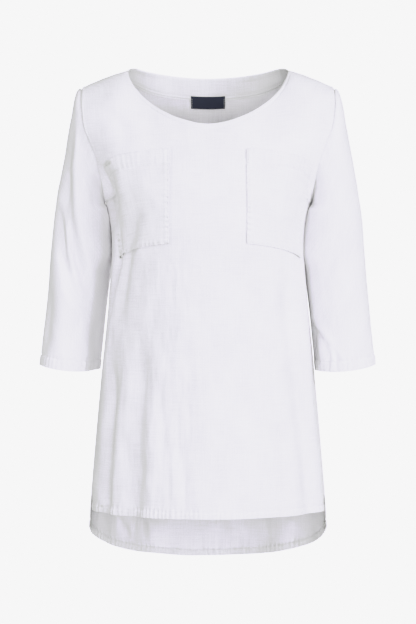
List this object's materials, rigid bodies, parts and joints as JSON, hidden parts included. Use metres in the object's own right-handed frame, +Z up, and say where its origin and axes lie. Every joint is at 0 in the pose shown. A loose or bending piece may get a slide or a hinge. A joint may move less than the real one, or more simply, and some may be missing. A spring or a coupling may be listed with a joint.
{
  "type": "tunic top",
  "caption": "Hip-length linen tunic with a wide scoop neck, set-in sleeves to the forearm, patch pockets on the chest and a longer rounded back hem over side vents.",
  "frame": {"origin": "midway between the wearer's shoulders, at the height of the neck points, where the wearer holds it up", "axes": "+Z up, the front faces -Y, +X towards the wearer's left"},
  "size_m": [0.5336, 0.2763, 0.8017],
  "materials": {
    "linen": "matt plain-weave linen, lilac white",
    "label_cloth": "fine woven, navy"
  },
  "bodies": {
    "root": {"front_panel": "linen", "back_panel": "linen", "sleeve_left": "linen", "sleeve_right": "linen", "pocket_left": "linen", "pocket_right": "linen", "back_neck_facing": "linen", "neck_label": "label_cloth"}
  },
  "joints": []
}
